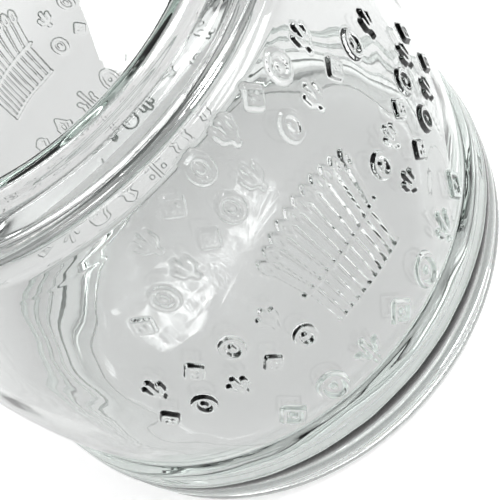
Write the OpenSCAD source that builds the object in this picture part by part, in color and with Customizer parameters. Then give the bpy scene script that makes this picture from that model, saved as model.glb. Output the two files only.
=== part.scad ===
// Wide barrel-shaped moulded glass storage jar with a lift-off glass lid.
// Millimetres, +Z up, origin on the table at the jar's axis, front of the jar towards -Y.

/* [Jar wall] */
// Outside diameter of the belly, where the wall is widest
belly_d = 184; // [178:1:196]
// Height of the belly above the table
belly_z = 51; // [48:1:62]
// Radius of the wall's long upright curve
barrel_r = 243; // [230:1:400]
// Height from the table to the ground top of the lip
jar_h = 134.5; // [130:0.5:146]
// Thickness of the side wall
wall_t = 4.4; // [3.6:0.1:5.4]
// Thickness of the floor above the bearing ring
floor_t = 7; // [6:0.5:12]
// Inside radius where the wall meets the floor
floor_corner_r = 11; // [6:0.5:16]

/* [Foot] */
// Number of raised hoops above the heel
hoops = 3; // [1:1:3]
// Height from one groove to the next
hoop_pitch = 8.3; // [7.4:0.1:9.4]
// Radius of each hoop's rounded section
hoop_r = 8; // [6:0.5:10]
// How far a hoop stands out from the belly
hoop_reach = 3.6; // [3:0.1:4.4]
// How much less the top hoop stands out than the others
top_hoop_in = 1.3; // [0:0.1:1.6]
// Height of the lowest groove above the table
heel_h = 7.1; // [6.8:0.1:8]
// Radius of the heel's rounded section
heel_r = 4; // [3.8:0.1:4.6]
// How far the heel stands out from the belly
heel_reach = 3.2; // [2.6:0.1:3.6]
// Width of the flat ring that the jar stands on
bearing_w = 11; // [6:0.5:16]
// Depth of the shallow hollow inside that ring
kick_h = 1.2; // [0.6:0.1:2.5]

/* [Mouth] */
// Width of the lip's flat ground top
lip_w = 5; // [4:0.5:8]
// Radius that rolls the wall over into the lip
lip_roll = 3.8; // [3:0.1:5]
// Depth of the lip's thick band around the mouth
lip_t = 4.6; // [4:0.2:8]
// Inside radius under the lip
lip_cove = 3; // [2:0.5:6]
// Bevel on the inner edge of the lip
lip_bevel = 0.8; // [0.4:0.1:1.4]

/* [Sheaf relief] */
// Number of stalks in the raised wheat sheaf
stalks = 11; // [7:2:13]
// Height of the band that ties the sheaf
tie_z = 83; // [78:1:88]
// Height of the middle ear's tip above the band
ear_rise = 22; // [17:0.5:25]
// Depth of the cut ends below the band
stem_drop = 16; // [10:0.5:18]
// Width of the sheaf across its ears
fan_w = 33; // [26:0.5:38]
// Width of the sheaf at the band
tied_w = 26; // [20:0.5:26]
// Width of one stalk
stalk_w = 1.5; // [1.1:0.1:1.6]
// How far the relief stands out from the wall
relief_h = 0.9; // [0.5:0.1:1.4]

/* [Ornament rows] */
// Width of one motif
motif_w = 6.2; // [5:0.1:7]
// Height of one motif
motif_h = 8.8; // [7:0.1:10]
// Width of a motif in the large bottom row
big_w = 8.8; // [7:0.1:10]
// Height of a motif in the large bottom row
big_h = 15.5; // [12:0.5:17]
// Height of the large bottom row's middle above the table
big_z = 44.8; // [43:0.2:48]
// Drop from the lip to the middle of the upper arch of motifs
arch_drop = 6.8; // [6:0.2:9]
// Distance from the upper arch down to the lower one
arch_gap = 11.2; // [10.5:0.1:12]
// How far an arch falls at 10 degrees from its middle
arch_fall = 1.05; // [0.6:0.05:1.3]
// Height of the upper side rows above the table
side_z = 85.8; // [80:0.2:90]
// Distance from the upper side rows down to the lower ones
side_gap = 13.6; // [11:0.2:15]
// Width of the motifs' raised lines
line_w = 1.5; // [1.1:0.1:1.8]

/* [Lid] */
// Gap all round between the lid's plug and the mouth
plug_gap = 1.5; // [0.8:0.1:2.4]
// How far the plug reaches down into the mouth
plug_h = 4.5; // [4:0.5:10]
// Thickness of the plug's ring
plug_t = 4; // [4:0.5:6]
// How far the lid's edge stands out past the lip's flat top
lid_over = 1.3; // [0.4:0.1:2]
// Thickness of the lid's flange
flange_t = 3; // [2.6:0.1:4]
// Width of the plain ledge outside the lid's rings
ledge_w = 4.2; // [3:0.1:5]
// Number of stepped rings on the lid
rings = 2; // [1:1:3]
// Distance in radius from one ring to the next
ring_pitch = 6.2; // [5.4:0.1:6.6]
// How much higher each ring is than the one outside it
ring_rise = 3.6; // [2.4:0.1:3.8]
// Radius of each ring's rounded section
ring_r = 3.8; // [3.8:0.1:4.4]
// Height of the dome above the innermost ring
dome_rise = 21.5; // [14:0.5:26]
// Thickness of the dome
dome_t = 4.6; // [4:0.2:5.4]

/* [Knob] */
// Diameter of the knob
knob_d = 42; // [34:1:50]
// Height of the knob's rounded side
knob_side = 15; // [11:0.5:16]
// How much the knob's top is crowned
knob_crown = 2.5; // [1:0.5:4]
// Diameter of the neck under the knob
neck_d = 21; // [17:1:24]
// Height of the neck above the top of the dome
neck_h = 8; // [6:0.5:14]

/* [Hidden] */
$fn = 96;
CLEAR_GLASS = [0.86, 0.89, 0.87, 0.4];
WALL_STEPS = 16;
RING_SINK = 1.2;
RING_END_ANGLE = 140;
NECK_COVE = 2.5;
PLUG_ROUND = 1.6;
RING_BACK = 1.9;
RELIEF_BAND = 16;
RELIEF_ROOT = 1.2;

belly_r = belly_d / 2;
barrel_c = [belly_r - barrel_r, belly_z];
heel_c = [belly_r + heel_reach - heel_r, heel_r];
hoop_c = [
    for (h = [0:hoops - 1])
        [
            belly_r + hoop_reach - hoop_r - (h == hoops - 1 ? top_hoop_in : 0),
            heel_h + (h + 0.5) * hoop_pitch
        ]
];

// The lip's roll touches the barrel curve from inside and the plane of the ground lip.
function touching(r, top) =
    let (y = top - r)
        [barrel_c.x + sqrt(pow(barrel_r - r, 2) - pow(y - barrel_c.y, 2)), y];
roll_c = touching(lip_roll, jar_h);
roll_a = atan2(roll_c.y - barrel_c.y, roll_c.x - barrel_c.x);

mouth_r = roll_c.x - lip_w;
lid_r = roll_c.x + lid_over;
plug_r = mouth_r - plug_gap;
plug_in = plug_r - plug_t;
flange_z = jar_h + flange_t;
ring_c0 = [lid_r - ledge_w - ring_r, flange_z - RING_SINK];
ring_step = [-ring_pitch, ring_rise];
last_ring_c = ring_c0 + (rings - 1) * ring_step;
dome_foot = last_ring_c + ring_r * [cos(RING_END_ANGLE), sin(RING_END_ANGLE)];
dome_r = (pow(dome_foot.x, 2) + pow(dome_rise, 2)) / (2 * dome_rise);
dome_c = dome_foot.y + dome_rise - dome_r;
knob_r = knob_d / 2;
neck_r = neck_d / 2;
knob_z = dome_foot.y + dome_rise + neck_h;

// Points of an arc about a centre, from one angle to another.
function arc(c, r, from, to, steps) =
    [for (i = [0:steps]) c + r * [cos(from + (to - from) * i / steps), sin(from + (to - from) * i / steps)]];

// Height of a cap of radius r about the dome's centre, at a distance x from the axis.
function cap_z(r, x) = dome_c + sqrt(r * r - x * x);

// Angle on the barrel curve at a height.
function barrel_a(z) = asin((z - barrel_c.y) / barrel_r);

// The barrel curve moved in by a depth, or out by a negative one, between two angles.
function barrel(depth, from, to) = arc(barrel_c, barrel_r - depth, from, to, WALL_STEPS);

// The outer point where two circles cross, the second one above the first.
function crossing(c1, r1, c2, r2) =
    let (
        d = norm(c2 - c1),
        along = (d * d + r1 * r1 - r2 * r2) / (2 * d),
        u = (c2 - c1) / d
    )
        c1 + along * u + sqrt(r1 * r1 - along * along) * [u.y, -u.x];

// The direction from a centre to a point.
function toward(c, p) = atan2(p.y - c.y, p.x - c.x);

// An arc from one point to another about a centre, without its first point.
function arc_to(c, r, p, q, steps) =
    let (a = arc(c, r, toward(c, p), toward(c, q), steps))
        [for (i = [1:len(a) - 1]) a[i]];

// The grooves: under each hoop, and the top hoop's run-out into the barrel curve.
groove = [
    for (h = [0:hoops])
        h == 0 ? crossing(heel_c, heel_r, hoop_c[0], hoop_r)
        : h < hoops ? crossing(hoop_c[h - 1], hoop_r, hoop_c[h], hoop_r)
        : run_out(hoop_c[hoops - 1])
];
function run_out(c) =
    let (
        gap = norm(c - barrel_c),
        turn = acos((gap * gap + barrel_r * barrel_r - hoop_r * hoop_r) / (2 * gap * barrel_r)),
        a = toward(barrel_c, c) + turn
    )
        barrel_c + barrel_r * [cos(a), sin(a)];
barrel_start = toward(barrel_c, groove[hoops]);

// Outline of the jar's outer surface, from the table up to the lip.
module jar_outline() {
    heel = arc(heel_c, heel_r, -90, toward(heel_c, groove[0]), 8);
    hoop_list = [for (h = [0:hoops - 1]) each arc_to(hoop_c[h], hoop_r, groove[h], groove[h + 1], 8)];
    wall = barrel(0, barrel_start + 0.5, roll_a);
    roll = arc_to(roll_c, lip_roll, wall[WALL_STEPS], [roll_c.x, jar_h], 6);
    polygon(concat([[0, 0]], heel, hoop_list, wall, roll, [[0, jar_h]]));
}

// Outline of the cavity, from the floor up through the mouth.
module cavity_outline() {
    cove_c = let (y = jar_h - lip_t - lip_cove, r = barrel_r - wall_t - lip_cove)
        [barrel_c.x + sqrt(pow(r, 2) - pow(y - barrel_c.y, 2)), y];
    cove_a = atan2(cove_c.y - barrel_c.y, cove_c.x - barrel_c.x);
    low_a = barrel_a(floor_t + floor_corner_r + 2);
    low = barrel_c + (barrel_r - wall_t) * [cos(low_a), sin(low_a)];
    corner = arc([low.x - floor_corner_r, floor_t + floor_corner_r], floor_corner_r, -90, 0, 8);
    wall = barrel(wall_t, low_a, cove_a);
    cove = arc(cove_c, lip_cove, cove_a, 90, 6);
    cove_in = [for (p = cove) if (p.x > mouth_r + 0.2) p];
    mouth = [
        [mouth_r, jar_h - lip_t],
        [mouth_r, jar_h - lip_bevel],
        [mouth_r + lip_bevel, jar_h],
        [mouth_r + lip_bevel, jar_h + 1]
    ];
    polygon(concat([[0, floor_t]], corner, wall, cove_in, mouth, [[0, jar_h + 1]]));
}

// A straight strip with square ends, from p to q.
module strip(p, q, w) {
    side = w / 2 * [p.y - q.y, q.x - p.x] / norm(q - p);
    polygon([p + side, p - side, q - side, q + side]);
}

// A pointed grain head standing on p and leaning at angle a, with full width w and length l.
module ear(p, a, w, l) {
    along = l * [cos(a), sin(a)];
    side = w / 2 * [sin(a), -cos(a)];
    polygon([p, p + 0.35 * along + side, p + along, p + 0.35 * along - side]);
}

// The flat drawing of the sheaf: fanned stalks with ears above the tie, cut ends below it.
module sheaf_drawing() {
    ear_l = 0.4 * ear_rise;
    ear_w = 0.95 * fan_w / (stalks - 1);
    for (i = [0:stalks - 1]) {
        s = 2 * i / (stalks - 1) - 1;
        tied = [s * tied_w / 2, 0];
        tip = [s * fan_w / 2, ear_rise * (1 - 0.2 * s * s)];
        lean = atan2(tip.y - tied.y, tip.x - tied.x);
        neck = tip - ear_l * [cos(lean), sin(lean)];
        foot = [s * tied_w * 0.46, -stem_drop];
        strip(tied, neck + 1.5 * [cos(lean), sin(lean)], stalk_w);
        ear(neck, lean, ear_w, ear_l);
        strip(tied, foot, stalk_w);
    }
    strip([-tied_w / 2 - 2, 0], [tied_w / 2 + 2, 0], 2 * stalk_w);
}

// Motif: a stem with a pair of leaves.
module sprig(w, h) {
    strip([0, -h / 2], [0, h / 2], line_w);
    for (flip = [-1, 1])
        strip([0, -0.22 * h], [flip * 0.45 * w, 0.2 * h], line_w);
}

// Motif: a lozenge.
module bud(w, h) {
    scale([w, h]) circle(d = 1, $fn = 4);
}

// Motif: a boss with six sides.
module rosette(w, h) {
    scale([w, h]) rotate(90) circle(d = 1, $fn = 6);
}

// A skin over the wall between two heights that limits how far the relief stands out.
module relief_skin(low, high) {
    steps = ceil((high - low) / RELIEF_BAND);
    from = barrel_a(low);
    to = barrel_a(min(high, jar_h - 2));
    rotate_extrude()
        polygon(concat(
            arc(barrel_c, barrel_r + relief_h, from, to, steps),
            arc(barrel_c, barrel_r - RELIEF_ROOT, to, from, steps)
        ));
}

// One motif of a row, by its number in the round of three.
module motif(number, w, h) {
    kind = number % 3;
    if (kind == 0) sprig(w, h);
    if (kind == 1) bud(w, h);
    if (kind == 2) rosette(w, 0.78 * h);
}

// A drawing raised through the wall on the front and again on the back, turned by an angle.
module raised(turn) {
    for (side = [0, 180])
        rotate([90, 0, side + turn])
            translate([0, 0, belly_r - 24])
                linear_extrude(height = 28) children();
}

// A row of motifs between two angles from the front, falling away from its middle.
module motif_row(first, last, count, z, fall, w, h, start) {
    furthest = max(abs(first), abs(last));
    lowest = z - fall * pow(furthest / 10, 2);
    intersection() {
        for (i = [0:count - 1]) {
            angle = first + (last - first) * i / (count - 1);
            down = fall * pow(angle / 10, 2);
            tilt = atan2(-2 * fall * angle / 100, belly_r * PI / 180);
            raised(angle)
                translate([0, z - down])
                    rotate(tilt) motif(i + start, w, h);
        }
        relief_skin(lowest - 0.62 * h, z + 0.62 * h);
    }
}

// The rows round the sheaf: two arches above, two short rows each side, one large row below.
module ornament_rows() {
    top = jar_h - arch_drop;
    low = side_z - side_gap;
    motif_row(-20.5, 21, 7, top, arch_fall, motif_w, 0.88 * motif_h, 0);
    motif_row(-30.5, -2, 6, top - arch_gap, arch_fall, motif_w, 0.92 * motif_h, 1);
    motif_row(8, 34, 5, top - arch_gap, arch_fall, motif_w, 0.92 * motif_h, 2);
    motif_row(-38, -16, 4, side_z, 0, motif_w, motif_h, 0);
    motif_row(-41, -14, 5, low, 0, motif_w, motif_h, 1);
    motif_row(14.6, 41.8, 6, side_z, 0, motif_w, motif_h, 2);
    motif_row(17, 41.8, 5, low, 0, motif_w, motif_h, 0);
    motif_row(-26, 26.6, 7, big_z, 0, big_w, big_h, 1);
}

// The raised wheat sheaf.
module sheaf() {
    intersection() {
        raised(0)
            translate([0, tie_z]) sheaf_drawing();
        relief_skin(tie_z - stem_drop - 1, tie_z + ear_rise + 1);
    }
}

// The jar: foot hoops, barrel wall, rolled lip and sheaf relief around one open cavity.
module jar_body() {
    color(CLEAR_GLASS)
        union() {
            difference() {
                rotate_extrude() jar_outline();
                rotate_extrude() cavity_outline();
                translate([0, 0, -1]) cylinder(h = 1 + kick_h, r = heel_c.x - bearing_w);
            }
            sheaf();
            ornament_rows();
        }
}

// Where two neighbouring lid rings meet, as an angle off the line between their centres.
ring_tilt = atan2(ring_rise, -ring_pitch);
ring_meet = acos(norm(ring_step) / 2 / ring_r);

// Outline of the lid: knob, neck, dome, stepped rings, flange, plug and the hollow under the dome.
module lid_outline() {
    edge_r = flange_t / 2;
    side_r = knob_side / 2;
    crown_w = knob_r - side_r;
    crown_r = (pow(crown_w, 2) + pow(knob_crown, 2)) / (2 * knob_crown);
    crown_a = asin(crown_w / crown_r);
    crown = arc([0, knob_z + knob_side + knob_crown - crown_r], crown_r, 90, 90 - crown_a, 5);
    side = arc([crown_w, knob_z + side_r], side_r, 84, -90, 14);
    neck_top = arc([neck_r + NECK_COVE, knob_z - NECK_COVE], NECK_COVE, 90, 180, 5);
    neck_foot_x = neck_r + NECK_COVE;
    neck_foot = arc([neck_foot_x, cap_z(dome_r, neck_foot_x) + NECK_COVE], NECK_COVE, 180, 270, 5);
    from_a = acos(neck_foot_x / dome_r);
    to_a = acos(dome_foot.x / dome_r);
    dome = arc([0, dome_c], dome_r, from_a - 2, to_a, 14);
    ring_list = [
        for (k = [0:rings - 1])
            let (
                i = rings - 1 - k,
                high = k == 0 ? RING_END_ANGLE - 8 : ring_tilt - ring_meet,
                low = i == 0 ? asin(RING_SINK / ring_r) : ring_tilt - 180 + ring_meet
            )
                each arc(ring_c0 + i * ring_step, ring_r, high, low, 8)
    ];
    edge = arc([lid_r - edge_r, jar_h + edge_r], edge_r, 90, -90, 8);
    plug_out = arc([plug_r - PLUG_ROUND, jar_h - plug_h + PLUG_ROUND], PLUG_ROUND, 0, -90, 4);
    plug_back = arc([plug_in + PLUG_ROUND, jar_h - plug_h + PLUG_ROUND], PLUG_ROUND, -90, -180, 4);
    in_r = dome_r - dome_t;
    slope = ring_step / norm(ring_step);
    under = ring_c0 + RING_BACK * [-slope.y, slope.x];
    step_in = under + slope * (under.x - plug_in) / -slope.x;
    step_top = under + (rings - 1) * ring_step;
    vault_x = min(step_top.x - 1, sqrt(pow(in_r, 2) - pow(step_top.y - dome_c, 2)));
    vault = arc([0, dome_c], in_r, acos(vault_x / in_r), 90, 14);
    polygon(concat(
        crown, side, neck_top, neck_foot, dome, ring_list, edge,
        [[plug_r, jar_h]], plug_out, plug_back, [step_in, step_top], vault
    ));
}

// The lid: one casting with its knob, resting on the lip with a plug inside the mouth.
module lid() {
    color(CLEAR_GLASS)
        rotate_extrude() lid_outline();
}

jar_body();
lid();
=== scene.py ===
"""Barrel-shaped moulded glass storage jar with a lift-off domed glass lid.

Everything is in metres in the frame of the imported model: +Z up, the origin on the table at the
jar's axis, the wheat sheaf relief towards -Y. Sizes of the glass are in millimetres and scaled by
MM, angles are in degrees, and places of lamps are in metres.
"""
import math
from collections import namedtuple

import bpy
import numpy as np
from mathutils import Matrix, Vector


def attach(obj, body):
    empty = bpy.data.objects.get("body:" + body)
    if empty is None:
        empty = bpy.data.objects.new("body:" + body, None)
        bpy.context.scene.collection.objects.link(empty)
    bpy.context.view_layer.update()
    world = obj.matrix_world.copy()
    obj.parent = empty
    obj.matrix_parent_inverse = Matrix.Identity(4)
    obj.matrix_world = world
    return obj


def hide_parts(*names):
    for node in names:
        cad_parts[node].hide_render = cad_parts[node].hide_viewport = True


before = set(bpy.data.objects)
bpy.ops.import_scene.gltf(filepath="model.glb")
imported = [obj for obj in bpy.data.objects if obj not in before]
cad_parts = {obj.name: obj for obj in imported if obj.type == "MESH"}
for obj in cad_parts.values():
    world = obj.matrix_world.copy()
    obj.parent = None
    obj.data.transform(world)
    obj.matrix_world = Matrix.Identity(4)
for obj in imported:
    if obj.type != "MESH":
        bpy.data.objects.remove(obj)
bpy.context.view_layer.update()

MM = 0.001
SEED = 11
# Less than any length that matters, in mm
TINY = 1e-9

# Jar wall, foot and mouth
BELLY_R, BELLY_Z, BARREL_R = 92.0, 51.0, 243.0
JAR_H, WALL_T, FLOOR_T = 134.5, 4.4, 7.0
# The cavity's lower corner, and how far above it the side wall starts
FLOOR_CORNER_R, CORNER_LIFT = 15.0, 2.0
# The hoops: count, height of each, radius of their section, how far they stand out from the belly,
# and how far the top one stays back from the others
HOOPS, HOOP_PITCH, HOOP_R, HOOP_REACH, TOP_HOOP_IN = 3, 8.3, 8.0, 3.6, 1.3
HEEL_H, HEEL_R, HEEL_REACH = 7.1, 4.0, 3.2
BEARING_W, KICK_H = 11.0, 1.2
LIP_W, LIP_ROLL, LIP_T, LIP_COVE, LIP_BEVEL = 5.0, 3.8, 4.6, 3.0, 0.8
# How far the cove stays from the mouth's straight wall
COVE_CLEAR = 0.2
BARREL_X = BELLY_R - BARREL_R
ROLL_X = BARREL_X + math.sqrt((BARREL_R - LIP_ROLL) ** 2 - (JAR_H - LIP_ROLL - BELLY_Z) ** 2)
MOUTH_R = ROLL_X - LIP_W

# Lid
SEAT_AIR = 0.04
PLUG_GAP, PLUG_H, PLUG_T, PLUG_ROUND = 1.5, 4.5, 4.0, 1.6
LID_OVER, FLANGE_T, LEDGE_W = 1.3, 3.0, 4.2
RINGS, RING_PITCH, RING_RISE, RING_R = 2, 6.2, 3.6, 3.8
# How far the outer ring's centre lies below the flange's top, and the angle on the inner ring at which
# the dome starts
RING_SINK, RING_END = 1.2, 140.0
# The underside: radius and span of the hollow in the inner ring, how far the plug's top lies below
# that ring's centre, and how far in from the dome's foot the vault starts
UNDER_R, UNDER_SPAN, UNDER_DROP, FOOT_IN = 1.7, (10, 110), 2.0, 3.5
DOME_RISE, DOME_T = 21.5, 4.6
KNOB_D, KNOB_SIDE, KNOB_CROWN = 42.0, 15.0, 2.5
NECK_D, NECK_H, NECK_COVE = 21.0, 8.0, 2.5
# Degrees left out where an arc runs into the next one, for soften() to bridge
WALL_JOIN, KNOB_JOIN, NECK_JOIN, RING_JOIN = 0.1, 6.0, 2.0, 8.0
LID_R = ROLL_X + LID_OVER
PLUG_R = MOUTH_R - PLUG_GAP
PLUG_IN = PLUG_R - PLUG_T

# Degrees between the points of an arc
ARC_STEP, HOOP_STEP, DOME_STEP, WALL_STEP = 4.0, 3.0, 1.0, 0.5

# Rounding of an outline: the step of its points in mm, and how many widths of the Gaussian count
SOFT_STEP, SOFT_REACH = 0.1, 4
# Mesh rows: how much an outline's corners are rounded (mm), and the most that it turns (degrees) and
# runs (mm) between two rows
JAR_SOFT, JAR_TURN, JAR_GAP = 0.3, 6.0, 2.2
LID_SOFT, LID_TURN, LID_GAP = 0.35, 5.0, 1.6
# Mesh in the relief: lowest and highest place, row step (mm), column step (degrees) and half width
# (degrees) of the front and back panels, whose rows have every column where others have every fourth
RELIEF_LOW, RELIEF_HIGH = 33.0, 130.5
ROW_STEP, COLUMN_STEP, PANEL_HALF = 0.34, 0.22, 57.2
SIDE_STEP, LID_STEP, COARSE_EVERY = 0.66, 1.0, 4

# Ripples that the mould left: height, shortest wave and longest wave in mm, and how many waves
OUTSIDE_RIPPLE, INSIDE_RIPPLE = (0.035, 12, 34, 26), (0.16, 18, 60, 24)
FLOOR_RIPPLE, DOME_RIPPLE = (0.12, 14, 40, 24), (0.1, 18, 50, 20)
# The wall ripples above the foot, below the lip and outside this radius, and the floor below this height
FOOT_TOP, LIP_LOW, WALL_FROM_R, FLOOR_TOP = 20, JAR_H - 8, 60, FLOOR_T + 1
# The dome's ripple stays off the plug and the axis, and fades in towards this radius
PLUG_CLEAR, AXIS_CLEAR, DOME_FADE_R = 3, 1, 25

# Reflections that light may make inside the glass: with fewer, parts of the lid's rings go black
INNER_REFLECTIONS = 6


# ---------------------------------------------------------------- profiles

def arc(cx, cz, r, start, end, step=ARC_STEP):
    """Points of an arc from one angle to another, in degrees."""
    n = max(2, int(math.ceil(abs(end - start) / step)))
    a = np.radians(np.linspace(start, end, n + 1))
    return np.stack([cx + r * np.cos(a), cz + r * np.sin(a)], 1)


def lengths(points):
    """The distance along a polyline to each of its points."""
    return np.concatenate([[0], np.cumsum(np.hypot(*np.diff(points, axis=0).T))])


def resample(points, step):
    """The same polyline with points at equal distances."""
    at = lengths(points)
    keep = np.concatenate([[True], np.diff(at) > TINY])
    at, points = at[keep], points[keep]
    s = np.linspace(0, at[-1], max(2, int(round(at[-1] / step)) + 1))
    return np.stack([np.interp(s, at, points[:, i]) for i in (0, 1)], 1)


def soften(points, sigma):
    """Rounds every corner of an outline whose two ends lie on the axis, by a Gaussian of width sigma."""
    fine = resample(points, SOFT_STEP)
    reach = int(SOFT_REACH * sigma / SOFT_STEP)
    kernel = np.exp(-0.5 * (np.arange(-reach, reach + 1) * SOFT_STEP / sigma) ** 2)
    kernel /= kernel.sum()
    mirror = np.array([-1.0, 1.0])
    padded = np.concatenate([fine[reach:0:-1] * mirror, fine, fine[-2:-reach - 2:-1] * mirror])
    out = np.stack([np.convolve(padded[:, i], kernel, "valid") for i in (0, 1)], 1)
    out[0, 0] = out[-1, 0] = 0
    return out


def thin(points, turn, gap, dense=None):
    """Keeps the points that the curve needs, and one in every ROW_STEP where dense is true."""
    d = np.diff(points, axis=0)
    length = np.hypot(d[:, 0], d[:, 1])
    angle = np.unwrap(np.arctan2(d[:, 1], d[:, 0]))
    keep, fine = [0], [False]
    moved = turned = 0.0
    for i in range(1, len(points) - 1):
        moved += length[i - 1]
        turned += abs(angle[i] - angle[i - 1])
        inside = dense is not None and dense[i]
        limit = ROW_STEP if inside else gap
        if moved >= limit or (not inside and turned >= math.radians(turn)):
            keep.append(i)
            fine.append(inside)
            moved = turned = 0.0
    keep.append(len(points) - 1)
    fine.append(False)
    return points[keep], np.array(fine)


def crossing(c1, r1, c2, r2):
    """The outer point where two circles cross, the second one above the first."""
    d = math.dist(c1, c2)
    along = (d * d + r1 * r1 - r2 * r2) / (2 * d)
    u = ((c2[0] - c1[0]) / d, (c2[1] - c1[1]) / d)
    out = math.sqrt(r1 * r1 - along * along)
    return c1[0] + along * u[0] + out * u[1], c1[1] + along * u[1] - out * u[0]


def toward(c, p):
    """The direction from a centre to a point, in degrees."""
    return math.degrees(math.atan2(p[1] - c[1], p[0] - c[0]))


def wall_foot(c):
    """Where the top hoop, centred on c, runs out into the barrel curve."""
    gap = math.hypot(c[0] - BARREL_X, c[1] - BELLY_Z)
    turn = math.acos((gap ** 2 + BARREL_R ** 2 - HOOP_R ** 2) / (2 * gap * BARREL_R))
    a = math.radians(toward((BARREL_X, BELLY_Z), c)) + turn
    return BARREL_X + BARREL_R * math.cos(a), BELLY_Z + BARREL_R * math.sin(a)


def jar_outer():
    """Half outline of the jar's outside, from the axis at the base up to the lip."""
    heel = (BELLY_R + HEEL_REACH - HEEL_R, HEEL_R)
    hoops = [(BELLY_R + HOOP_REACH - HOOP_R - (TOP_HOOP_IN if h == HOOPS - 1 else 0),
              HEEL_H + (h + 0.5) * HOOP_PITCH) for h in range(HOOPS)]
    grooves = [crossing(heel, HEEL_R, hoops[0], HOOP_R)]
    grooves += [crossing(a, HOOP_R, b, HOOP_R) for a, b in zip(hoops[:-1], hoops[1:])]
    grooves.append(wall_foot(hoops[-1]))
    bearing_x = heel[0] - BEARING_W
    parts = [[(0, KICK_H), (bearing_x, KICK_H), (bearing_x, 0)]]
    parts.append(arc(*heel, HEEL_R, -90, toward(heel, grooves[0])))
    for c, low, high in zip(hoops, grooves[:-1], grooves[1:]):
        parts.append(arc(*c, HOOP_R, toward(c, low), toward(c, high), HOOP_STEP))
    start = toward((BARREL_X, BELLY_Z), grooves[-1])
    end = math.degrees(math.asin((JAR_H - LIP_ROLL - BELLY_Z) / (BARREL_R - LIP_ROLL)))
    parts.append(arc(BARREL_X, BELLY_Z, BARREL_R, start + WALL_JOIN, end, WALL_STEP))
    parts.append(arc(ROLL_X, JAR_H - LIP_ROLL, LIP_ROLL, end, 90))
    return np.concatenate(parts)


def jar_inner():
    """Half outline of the cavity, from the lip down to the axis at the floor."""
    inner = BARREL_R - WALL_T
    cove_z = JAR_H - LIP_T - LIP_COVE
    cove_x = BARREL_X + math.sqrt((inner - LIP_COVE) ** 2 - (cove_z - BELLY_Z) ** 2)
    cove_a = math.degrees(math.asin((cove_z - BELLY_Z) / (inner - LIP_COVE)))
    cove = [p for p in arc(cove_x, cove_z, LIP_COVE, 90, cove_a) if p[0] > MOUTH_R + COVE_CLEAR]
    low_a = math.degrees(math.asin((FLOOR_T + FLOOR_CORNER_R + CORNER_LIFT - BELLY_Z) / BARREL_R))
    low_x = BARREL_X + inner * math.cos(math.radians(low_a))
    return np.concatenate([
        [(MOUTH_R + LIP_BEVEL, JAR_H), (MOUTH_R, JAR_H - LIP_BEVEL), (MOUTH_R, JAR_H - LIP_T)],
        cove,
        arc(BARREL_X, BELLY_Z, inner, cove_a, low_a, WALL_STEP),
        arc(low_x - FLOOR_CORNER_R, FLOOR_T + FLOOR_CORNER_R, FLOOR_CORNER_R, 0, -90),
        [(0, FLOOR_T)],
    ])


def lid_profile():
    """Half outline of the lid, from the top of the knob round to the crown of the hollow."""
    ring0 = np.array([LID_R - LEDGE_W - RING_R, JAR_H + FLANGE_T - RING_SINK])
    step = np.array([-RING_PITCH, RING_RISE])
    last = ring0 + (RINGS - 1) * step
    foot = last + RING_R * np.array([math.cos(math.radians(RING_END)), math.sin(math.radians(RING_END))])
    dome_r = (foot[0] ** 2 + DOME_RISE ** 2) / (2 * DOME_RISE)
    dome_c = foot[1] + DOME_RISE - dome_r
    knob_z = foot[1] + DOME_RISE + NECK_H
    side_r = KNOB_SIDE / 2
    crown_w = KNOB_D / 2 - side_r
    crown_r = (crown_w ** 2 + KNOB_CROWN ** 2) / (2 * KNOB_CROWN)
    crown_a = math.degrees(math.asin(crown_w / crown_r))
    neck_x = NECK_D / 2 + NECK_COVE
    neck_z = dome_c + math.sqrt(dome_r ** 2 - neck_x ** 2)
    tilt = math.degrees(math.atan2(RING_RISE, -RING_PITCH))
    meet = math.degrees(math.acos(np.linalg.norm(step) / 2 / RING_R))
    parts = [
        arc(0, knob_z + KNOB_SIDE + KNOB_CROWN - crown_r, crown_r, 90, 90 - crown_a),
        arc(crown_w, knob_z + side_r, side_r, 90 - KNOB_JOIN, -90),
        arc(neck_x, knob_z - NECK_COVE, NECK_COVE, 90, 180),
        arc(neck_x, neck_z + NECK_COVE, NECK_COVE, 180, 270),
        arc(0, dome_c, dome_r, math.degrees(math.acos(neck_x / dome_r)) - NECK_JOIN,
            math.degrees(math.acos(foot[0] / dome_r)), DOME_STEP),
    ]
    for k in range(RINGS):
        i = RINGS - 1 - k
        high = RING_END - RING_JOIN if k == 0 else tilt - meet
        low = math.degrees(math.asin(RING_SINK / RING_R)) if i == 0 else tilt - 180 + meet
        parts.append(arc(*(ring0 + i * step), RING_R, high, low))
    edge_r = FLANGE_T / 2
    bottom = JAR_H + SEAT_AIR
    in_r = dome_r - DOME_T
    parts += [
        arc(LID_R - edge_r, bottom + edge_r, edge_r, 90, -90),
        [(PLUG_R, bottom)],
        arc(PLUG_R - PLUG_ROUND, JAR_H - PLUG_H + PLUG_ROUND, PLUG_ROUND, 0, -90),
        arc(PLUG_IN + PLUG_ROUND, JAR_H - PLUG_H + PLUG_ROUND, PLUG_ROUND, -90, -180),
        [(PLUG_IN, last[1] - UNDER_DROP)],
        arc(*last, UNDER_R, *UNDER_SPAN),
        arc(0, dome_c, in_r, math.degrees(math.acos((foot[0] - FOOT_IN) / in_r)), 90, DOME_STEP),
    ]
    return np.concatenate(parts)


# ---------------------------------------------------------------- waves in the glass

def waves(theta, s, ripple, seed):
    """Smooth random waves over an angle in radians and a length in mm."""
    height, shortest, longest, count = ripple
    rng = np.random.default_rng(seed)
    out = np.zeros((len(s), len(theta)))
    for _ in range(count):
        wave = rng.uniform(shortest, longest)
        lean = rng.uniform(0, math.pi)
        k = round(2 * math.pi * BELLY_R / wave * math.cos(lean))
        m = 2 * math.pi / wave * math.sin(lean)
        phase = rng.uniform(0, 2 * math.pi)
        out += np.cos(k * theta[None, :] + m * s[:, None] + phase)
    return height * out / math.sqrt(count / 2) / 2


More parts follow.
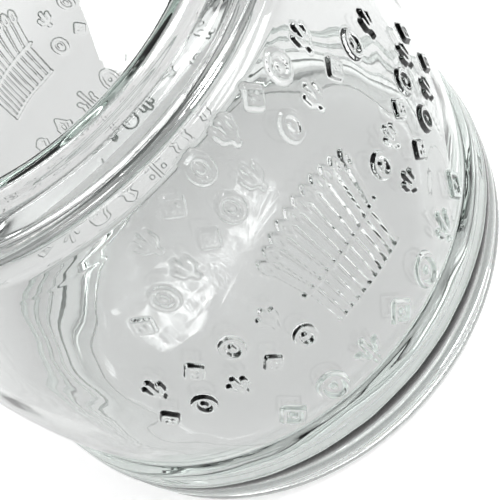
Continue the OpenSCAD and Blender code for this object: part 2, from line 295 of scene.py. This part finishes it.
# ---------------------------------------------------------------- relief ornament

# Half width and height of a motif's strokes, how wide their shoulders are, and the width that is
# kept for a stroke inside a motif's box
STROKE_HALF, STROKE_H, EDGE, LINE_W = 0.8, 0.95, 0.55, 1.5
# Half length of the seed in a motif's dished middle, as a share of the motif's height
SEED_HALF = 0.06
OVAL_SIDES = 24


def sprig(w, h):
    """A stem with a pair of leaves."""
    leaf = [(0, -0.22 * h), (0.28 * w, -0.06 * h), (0.45 * w - LINE_W / 2, 0.2 * h)]
    return [[(0, LINE_W / 2 - h / 2), (0, h / 2 - LINE_W / 2)], leaf, [(-x, y) for x, y in leaf]]


def bud(w, h):
    """A lozenge with a seed in its dished middle."""
    x, y = w / 2 - LINE_W * 0.7, h / 2 - LINE_W
    return [[(0, -y), (-x, 0), (0, y), (x, 0), (0, -y)], [(0, -SEED_HALF * h), (0, SEED_HALF * h)]]


def rosette(w, h):
    """An oval ring with a seed in its dished middle."""
    x, y = (w - LINE_W) / 2, (h - LINE_W) / 2
    ring = [(x * math.cos(a), y * math.sin(a)) for a in np.linspace(0, 2 * math.pi, OVAL_SIDES + 1)]
    return [ring, [(0, -SEED_HALF * h), (0, SEED_HALF * h)]]


MOTIFS = (sprig, bud, rosette)

# A row of motifs: first and last angle from the front, count, height above the table at the front,
# how far the row falls at FALL_ANGLE, motif width and height, and which motif it starts with
Row = namedtuple("Row", "first last count top fall w h start")
FALL_ANGLE, ARCH_FALL = 10.0, 1.05
SMALL_W, SMALL_H, LARGE_W, LARGE_H = 6.2, 8.8, 8.8, 15.5
ROWS = (
    Row(-20.5, 21.0, 7, 127.7, ARCH_FALL, SMALL_W, 7.75, 0),
    Row(-30.5, -2.0, 6, 116.5, ARCH_FALL, SMALL_W, 8.1, 1),
    Row(8.0, 34.0, 5, 116.5, ARCH_FALL, SMALL_W, 8.1, 2),
    Row(-38.0, -16.0, 4, 85.8, 0.0, SMALL_W, SMALL_H, 0),
    Row(-41.0, -14.0, 5, 72.2, 0.0, SMALL_W, SMALL_H, 1),
    Row(14.6, 41.8, 6, 85.8, 0.0, SMALL_W, SMALL_H, 2),
    Row(17.0, 41.8, 5, 72.2, 0.0, SMALL_W, SMALL_H, 0),
    Row(-26.0, 26.6, 7, 44.8, 0.0, LARGE_W, LARGE_H, 1),
)

# The sheaf: height of its band, of the ears above it and the cut ends below it, width of the fan and
# of the tie, share of the tie's half width that the cut ends spread to, and how the ears arch
SHEAF_Z, SHEAF_RISE, SHEAF_DROP = 83.0, 22.0, 16.0
SHEAF_FAN, SHEAF_TIED, CUT_SPREAD, EAR_ARCH, STALKS = 33.0, 26.0, 0.46, 0.2, 11
# An ear: its length, and its husks' bulge as shares of that length and mm to the side
EAR_L, HUSK_BULGE = 5.6, ((0.35, 0.85), (0.75, 0.8))
# Half widths and heights of the sheaf's strokes
STALK, STRAW, HUSK, CUT_END, BAND = (1.1, 1.0), (0.95, 1.0), (0.65, 1.1), (0.8, 1.15), (0.9, 1.2)
CUT_HALF_W, BAND_OVER = 0.5, 1.6


class Relief:
    """Heights over the wall's grid of angles (radians) and heights above the table (mm)."""

    def __init__(self, theta, z, r):
        self.theta, self.z, self.r = theta, z, r
        self.height = np.zeros((len(z), len(theta)))

    def stroke(self, points, half, tall):
        """A ridge with soft shoulders along points (mm to the right of the front, mm above the table)."""
        p = np.asarray(points, float)
        reach = half + EDGE
        rows = np.flatnonzero((self.z > p[:, 1].min() - reach) & (self.z < p[:, 1].max() + reach))
        if not len(rows):
            return
        arc_mm = self.theta * np.interp(p[:, 1].mean(), self.z, self.r)
        cols = np.flatnonzero((arc_mm > p[:, 0].min() - reach) & (arc_mm < p[:, 0].max() + reach))
        if not len(cols):
            return
        x = arc_mm[cols][None, :]
        y = self.z[rows][:, None]
        near = np.full((len(rows), len(cols)), np.inf)
        for a, b in zip(p[:-1], p[1:]):
            d = b - a
            along = np.clip(((x - a[0]) * d[0] + (y - a[1]) * d[1]) / max(d @ d, TINY), 0, 1)
            near = np.minimum(near, np.hypot(x - a[0] - along * d[0], y - a[1] - along * d[1]))
        inside = np.clip((half + EDGE / 2 - near) / EDGE, 0, 1)
        ridge = tall * inside * inside * (3 - 2 * inside)
        part = self.height[np.ix_(rows, cols)]
        self.height[np.ix_(rows, cols)] = np.maximum(part, ridge)

    def motif(self, lines, angle, z, turn):
        """Strokes round a place at an angle (degrees) and height, turned by degrees."""
        x0 = math.radians(angle) * np.interp(z, self.z, self.r)
        c, s = math.cos(math.radians(turn)), math.sin(math.radians(turn))
        for line in lines:
            self.stroke([(x0 + c * x - s * y, z + s * x + c * y) for x, y in line], STROKE_HALF, STROKE_H)


def add_rows(relief):
    """The rows of motifs, each motif standing square to its row."""
    for row in ROWS:
        for i in range(row.count):
            angle = row.first + (row.last - row.first) * i / (row.count - 1)
            z = row.top - row.fall * (angle / FALL_ANGLE) ** 2
            tilt = math.atan2(-2 * row.fall * angle / FALL_ANGLE ** 2, math.radians(BELLY_R))
            lines = MOTIFS[(i + row.start) % len(MOTIFS)](row.w, row.h)
            relief.motif(lines, angle, z, math.degrees(tilt))


def add_sheaf(relief):
    """A tied wheat sheaf: fanned stalks with ears above the band, cut ends below it."""
    for i in range(STALKS):
        s = 2 * i / (STALKS - 1) - 1
        tied = np.array([s * SHEAF_TIED / 2, SHEAF_Z])
        tip = np.array([s * SHEAF_FAN / 2, SHEAF_Z + SHEAF_RISE * (1 - EAR_ARCH * s * s)])
        lean = (tip - tied) / np.linalg.norm(tip - tied)
        side = np.array([lean[1], -lean[0]])
        neck = tip - EAR_L * lean
        cut = np.array([s * SHEAF_TIED * CUT_SPREAD, SHEAF_Z - SHEAF_DROP])
        relief.stroke([tied, neck], *STALK)
        relief.stroke([tied, cut], *STRAW)
        for flip in (-1, 1):
            bulge = [neck + up * EAR_L * lean + flip * out * side for up, out in HUSK_BULGE]
            relief.stroke([neck, *bulge, tip], *HUSK)
        relief.stroke([cut - (CUT_HALF_W, 0), cut + (CUT_HALF_W, 0)], *CUT_END)
    reach = SHEAF_TIED / 2 + BAND_OVER
    relief.stroke([(-reach, SHEAF_Z), (reach, SHEAF_Z)], *BAND)


# ---------------------------------------------------------------- meshes

def angles():
    """Column angles in radians from the front, and how many of them are on the front panel."""
    front = np.arange(-PANEL_HALF, PANEL_HALF + COLUMN_STEP / 2, COLUMN_STEP)
    side_w = 180 - 2 * PANEL_HALF
    n = int(round(side_w / SIDE_STEP / COARSE_EVERY)) * COARSE_EVERY
    side = PANEL_HALF + side_w * np.arange(1, n) / n
    half = np.concatenate([front, side])
    whole = np.concatenate([half, half + 180])
    assert len(whole) % COARSE_EVERY == 0, f"{len(whole)} columns are not a multiple of {COARSE_EVERY}"
    return np.radians(whole), len(front)


def normals_2d(points):
    """Unit normals to the left of a polyline's direction of travel."""
    d = np.gradient(points, axis=0)
    n = np.stack([d[:, 1], -d[:, 0]], 1)
    return n / np.maximum(np.linalg.norm(n, axis=1, keepdims=True), TINY)


def bridge(a, na, b, nb):
    """Faces between a ring of na points from number a and the next ring, of nb points from number b.

    Where one ring is finer, each face takes COARSE_EVERY of its steps and one step of the other.
    """
    i = np.arange(min(na, nb))
    j = (i + 1) % len(i)
    if na == nb:
        rows = [a + i, a + j, b + j, b + i]
    elif na > nb:
        rows = [b + j, b + i] + [a + (i * COARSE_EVERY + m) % na for m in range(COARSE_EVERY + 1)]
    else:
        rows = [a + i, a + j] + [b + (i * COARSE_EVERY + m) % nb for m in range(COARSE_EVERY, -1, -1)]
    return np.stack(rows, 1).tolist()


def revolve(name, profile, fine, theta, offset):
    """A closed mesh of revolution. Rows marked fine have every column, the others one in COARSE_EVERY.

    offset holds how far each row's points stand out along the profile's normal, in mm.
    """
    normal = normals_2d(profile)
    every = np.arange(len(theta))
    verts, rings, count = [], [], 0
    for i in range(1, len(profile) - 1):
        cols = every if fine[i] else every[::COARSE_EVERY]
        out = offset[i][cols]
        r = profile[i, 0] + normal[i, 0] * out
        z = profile[i, 1] + normal[i, 1] * out
        verts.append(np.stack([r * np.sin(theta[cols]), -r * np.cos(theta[cols]), z], 1))
        rings.append((count, len(cols)))
        count += len(cols)
    first, last = count, count + 1
    verts.append([[0, 0, profile[0, 1]], [0, 0, profile[-1, 1]]])
    faces = [face for a, b in zip(rings[:-1], rings[1:]) for face in bridge(*a, *b)]
    a, na = rings[0]
    faces += [[first, a + (i + 1) % na, a + i] for i in range(na)]
    b, nb = rings[-1]
    faces += [[last, b + i, b + (i + 1) % nb] for i in range(nb)]
    mesh = bpy.data.meshes.new(name)
    mesh.from_pydata((np.concatenate(verts) * MM).tolist(), [], faces)
    mesh.validate()
    mesh.shade_smooth()
    piece = bpy.data.objects.new(name, mesh)
    bpy.context.scene.collection.objects.link(piece)
    return piece


def build_jar():
    """The jar, with ripples in its glass and the relief on its front and back panels."""
    theta, front = angles()
    outline = soften(np.concatenate([jar_outer(), jar_inner()]), JAR_SOFT)
    outside = np.arange(len(outline)) < np.argmax(outline[:, 1])
    in_relief = outside & (outline[:, 1] > RELIEF_LOW) & (outline[:, 1] < RELIEF_HIGH)
    profile, fine = thin(outline, JAR_TURN, JAR_GAP, in_relief)
    s = lengths(profile)
    r, z = profile.T
    offset = np.zeros((len(profile), len(theta)))
    wall = (z > FOOT_TOP) & (z < LIP_LOW) & (r > WALL_FROM_R)
    outside = np.arange(len(profile)) < np.argmax(z)
    offset[wall & outside] += waves(theta, s[wall & outside], OUTSIDE_RIPPLE, SEED)
    offset[wall & ~outside] += waves(theta, s[wall & ~outside], INSIDE_RIPPLE, SEED + 1)
    base = ~outside & (z < FLOOR_TOP)
    fade = np.clip(r[base] / BELLY_R, 0, 1)[:, None]
    offset[base] += fade * waves(theta, s[base], FLOOR_RIPPLE, SEED + 3)
    rows = np.flatnonzero(fine)
    relief = Relief(theta[:front], z[rows], r[rows])
    add_rows(relief)
    add_sheaf(relief)
    for start in (0, len(theta) // 2):
        offset[rows[:, None], start + np.arange(front)] += relief.height
    return revolve("jar_glass_body", profile, fine, theta, offset)


def build_lid():
    """The lid, with ripples on the underside of its dome."""
    profile, fine = thin(soften(lid_profile(), LID_SOFT), LID_TURN, LID_GAP)
    theta = np.radians(np.arange(-180, 180, LID_STEP / COARSE_EVERY))
    s = lengths(profile)
    r, z = profile.T
    offset = np.zeros((len(profile), len(theta)))
    vault = (np.arange(len(profile)) > np.argmin(z)) & (r < PLUG_IN - PLUG_CLEAR) & (r > AXIS_CLEAR)
    fade = np.clip(r[vault] / DOME_FADE_R, 0, 1)[:, None]
    offset[vault] += fade * waves(theta, s[vault], DOME_RIPPLE, SEED + 2)
    return revolve("lid_glass_body", profile[::-1], fine[::-1], theta, -offset[::-1])


# ---------------------------------------------------------------- materials

class Nodes:
    """A small helper to add and link shader nodes.

    The values given to add() are a node's own settings or its inputs, with _ for a space.
    """

    def __init__(self, tree):
        self.tree = tree
        tree.nodes.clear()

    def add(self, kind, **values):
        node = self.tree.nodes.new(kind)
        for key, value in values.items():
            if hasattr(node, key):
                setattr(node, key, value)
            else:
                node.inputs[key.replace("_", " ")].default_value = value
        return node

    def link(self, a, b):
        self.tree.links.new(a, b)


GLASS_IOR, GLASS_TINT, GLASS_DEPTH = 1.5, (0.25, 0.92, 0.6, 1.0), 2.4
# Scales are in waves per metre, and the ripple's depth is in metres
RIPPLE_SCALE, RIPPLE_DEPTH, RIPPLE_STRENGTH = 70.0, 0.0006, 0.06
WEAR_SCALE, WEAR_FROM, WEAR_FULL, WEAR_ROUGHNESS = 38.0, 0.45, 0.8, 0.03


def glass(name):
    """Old moulded glass: clear, faintly green in its depth, with ripples and a little wear."""
    mat = bpy.data.materials.new(name)
    mat.use_nodes = True
    n = Nodes(mat.node_tree)
    out = n.add("ShaderNodeOutputMaterial")
    body = n.add("ShaderNodeBsdfPrincipled", Transmission_Weight=1.0, IOR=GLASS_IOR)
    coords = n.add("ShaderNodeTexCoord")
    ripple = n.add("ShaderNodeTexNoise", Scale=RIPPLE_SCALE, Detail=2.0, Roughness=0.5)
    n.link(coords.outputs["Object"], ripple.inputs["Vector"])
    bump = n.add("ShaderNodeBump", Strength=RIPPLE_STRENGTH, Distance=RIPPLE_DEPTH)
    n.link(ripple.outputs["Fac"], bump.inputs["Height"])
    n.link(bump.outputs["Normal"], body.inputs["Normal"])
    wear = n.add("ShaderNodeTexNoise", Scale=WEAR_SCALE, Detail=5.0, Roughness=0.6)
    n.link(coords.outputs["Object"], wear.inputs["Vector"])
    worn = n.add("ShaderNodeMapRange", From_Min=WEAR_FROM, From_Max=WEAR_FULL, To_Max=WEAR_ROUGHNESS)
    n.link(wear.outputs["Fac"], worn.inputs["Value"])
    n.link(worn.outputs["Result"], body.inputs["Roughness"])
    depth = n.add("ShaderNodeVolumeAbsorption", Color=GLASS_TINT, Density=GLASS_DEPTH)
    n.link(body.outputs["BSDF"], out.inputs["Surface"])
    n.link(depth.outputs["Volume"], out.inputs["Volume"])
    return mat


# ---------------------------------------------------------------- camera, floor and light

# Brightness of the sky by the sine of its height above the horizon, in front and behind, and how
# far the two blend, as a share of the way from the side to the back
ROOM = ((0.0, 0.45), (0.14, 0.35), (0.2, 0.04), (0.42, 0.04), (0.52, 0.4), (1.0, 0.45))
STUDIO = ((0.0, 0.9), (0.3, 0.75), (0.6, 0.6), (1.0, 0.45))
SIDE_BLEND, BACKDROP = 0.25, 1.0
# Painted pool of light on the paper, seen only through the glass: its glow by metres from the jar's axis,
# with a painted shadow in the dark ring round the foot
PAINTED_POOL_AND_SHADOW = ((0.0, 0.7), (0.095, 0.6), (0.115, 0.32), (0.2, 0.29), (0.3, 0.56), (0.6, 0.52), (1.0, 0.22))
# The paper: its colour, the glow that the camera sees, its half width and its drop below the foot
PAPER, CAMERA_GLOW, FLOOR_HALF, FLOOR_DROP = 0.9, 0.6, 4.0, 0.0001
# Lamps: place as seen from the camera's side (right, front, up), aim, width and height, and power
Lamp = namedtuple("Lamp", "name place aim size power")
LAMPS = (
    Lamp("key_window", (0.54, 0.2, 1.1), (0, 0, 0.13), (0.5, 0.6), 11.0),
    Lamp("skylight", (-0.11, -1.0, 1.1), (0, 0, 0.02), (0.5, 0.08), 1.2),
)

# The camera's bearing, distance and height (mm) from the jar's foot, its aim, and its lens
CAM_AZIMUTH, CAM_REACH, CAM_HEIGHT = -10.2, 204.1, 242.5
CAM_PITCH, CAM_YAW, CAM_ROLL, CAM_LENS, CAM_SENSOR = 49.36, 0.06, -46.15, 57.6, 36.0


def build_camera():
    """The camera at the photograph's viewing angle, turned on its own axis as the photograph is."""
    data = bpy.data.cameras.new("camera")
    data.lens = CAM_LENS
    data.sensor_width = CAM_SENSOR
    camera = bpy.data.objects.new("camera", data)
    azimuth = math.radians(CAM_AZIMUTH)
    x, y = CAM_REACH * math.sin(azimuth), -CAM_REACH * math.cos(azimuth)
    place = Matrix.Translation((x * MM, y * MM, CAM_HEIGHT * MM))
    aim = Matrix.Rotation(math.radians(CAM_AZIMUTH + CAM_YAW), 4, "Z")
    tip = Matrix.Rotation(math.radians(90 - CAM_PITCH), 4, "X")
    roll = Matrix.Rotation(math.radians(CAM_ROLL), 4, "Z")
    camera.matrix_world = place @ aim @ tip @ roll
    bpy.context.scene.collection.objects.link(camera)
    bpy.context.scene.camera = camera


def from_camera_side(right, front, up):
    """A place given as seen from the camera's side of the jar, in metres."""
    a = math.radians(CAM_AZIMUTH)
    x, y = right, -front
    return (x * math.cos(a) - y * math.sin(a), x * math.sin(a) + y * math.cos(a), up)


def build_lamp(lamp):
    """A soft rectangular lamp."""
    data = bpy.data.lights.new(lamp.name, "AREA")
    data.shape = "RECTANGLE"
    data.size, data.size_y = lamp.size
    data.energy = lamp.power
    piece = bpy.data.objects.new(lamp.name, data)
    piece.location = from_camera_side(*lamp.place)
    piece.rotation_euler = (Vector(lamp.aim) - piece.location).to_track_quat("-Z", "Y").to_euler()
    bpy.context.scene.collection.objects.link(piece)


def grey_ramp(n, source, stops):
    """A ramp of greys over a value, from (position, level) pairs."""
    ramp = n.add("ShaderNodeValToRGB")
    elements = ramp.color_ramp.elements
    for stop, (at, level) in zip(elements, (stops[0], stops[-1])):
        stop.position, stop.color = at, (level, level, level, 1)
    for at, level in stops[1:-1]:
        elements.new(at).color = (level, level, level, 1)
    n.link(source, ramp.inputs["Fac"])
    return ramp.outputs["Color"]


def pick(n, a, b, factor):
    """a where the factor is 0 and b where it is 1."""
    mix = n.add("ShaderNodeMixRGB")
    n.link(factor, mix.inputs["Fac"])
    n.link(a, mix.inputs["Color1"])
    n.link(b, mix.inputs["Color2"])
    return mix.outputs["Color"]


def build_floor():
    """White paper. The glass sees a painted pool of light glowing on it round the jar, with a painted
    shadow in a ring round the foot.
    """
    mesh = bpy.data.meshes.new("floor")
    corners = [(x * FLOOR_HALF, y * FLOOR_HALF, 0) for x, y in ((-1, -1), (1, -1), (1, 1), (-1, 1))]
    mesh.from_pydata(corners, [], [(0, 1, 2, 3)])
    floor = bpy.data.objects.new("floor", mesh)
    floor.location.z = -FLOOR_DROP
    bpy.context.scene.collection.objects.link(floor)
    mat = bpy.data.materials.new("floor_paper")
    mat.use_nodes = True
    n = Nodes(mat.node_tree)
    out = n.add("ShaderNodeOutputMaterial")
    paper = n.add("ShaderNodeBsdfDiffuse", Color=(PAPER, PAPER, PAPER, 1.0))
    path = n.add("ShaderNodeLightPath")
    through = n.add("ShaderNodeMath", operation="MAXIMUM")
    n.link(path.outputs["Is Glossy Ray"], through.inputs[0])
    n.link(path.outputs["Is Transmission Ray"], through.inputs[1])
    spot = n.add("ShaderNodeNewGeometry")
    far = n.add("ShaderNodeVectorMath", operation="LENGTH")
    n.link(spot.outputs["Position"], far.inputs[0])
    # Painted pool of light and painted shadow ring, glowing only for the glass's reflections and
    # refractions
    painted_pool_and_shadow = grey_ramp(n, far.outputs["Value"], PAINTED_POOL_AND_SHADOW)
    direct = grey_ramp(n, path.outputs["Is Camera Ray"], ((0.0, 0.0), (1.0, CAMERA_GLOW)))
    glow = n.add("ShaderNodeEmission")
    n.link(pick(n, direct, painted_pool_and_shadow, through.outputs[0]), glow.inputs["Color"])
    both = n.add("ShaderNodeAddShader")
    n.link(paper.outputs[0], both.inputs[0])
    n.link(glow.outputs[0], both.inputs[1])
    n.link(both.outputs[0], out.inputs["Surface"])
    mesh.materials.append(mat)


def build_world():
    """A pale studio behind the jar and a darker room in front of it. The camera itself sees white."""
    world = bpy.data.worlds.new("studio")
    bpy.context.scene.world = world
    world.use_nodes = True
    n = Nodes(world.node_tree)
    out = n.add("ShaderNodeOutputWorld")
    sky = n.add("ShaderNodeBackground")
    coords = n.add("ShaderNodeTexCoord")
    split = n.add("ShaderNodeSeparateXYZ")
    n.link(coords.outputs["Generated"], split.inputs[0])
    side = n.add("ShaderNodeMapRange", From_Min=-SIDE_BLEND, From_Max=SIDE_BLEND)
    n.link(split.outputs["Y"], side.inputs["Value"])
    front = grey_ramp(n, split.outputs["Z"], ROOM)
    back = grey_ramp(n, split.outputs["Z"], STUDIO)
    path = n.add("ShaderNodeLightPath")
    seen = path.outputs["Is Camera Ray"]
    backdrop = grey_ramp(n, seen, ((0.0, 0.0), (1.0, BACKDROP)))
    around = pick(n, front, back, side.outputs["Result"])
    n.link(pick(n, around, backdrop, seen), sky.inputs["Color"])
    n.link(sky.outputs[0], out.inputs["Surface"])


# ---------------------------------------------------------------- the scene

def main():
    bpy.context.scene.view_settings.view_transform = "Standard"
    bpy.context.scene.cycles.glossy_bounces = INNER_REFLECTIONS
    build_camera()
    pieces = ((build_jar(), "jar", "jar_body", "jar_glass"), (build_lid(), "lid", "lid", "lid_glass"))
    for piece, body, node, slot in pieces:
        piece.data.materials.append(glass(f"{body}_moulded_glass"))
        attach(piece, body)
        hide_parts(node)
    build_floor()
    build_world()
    for lamp in LAMPS:
        build_lamp(lamp)


main()
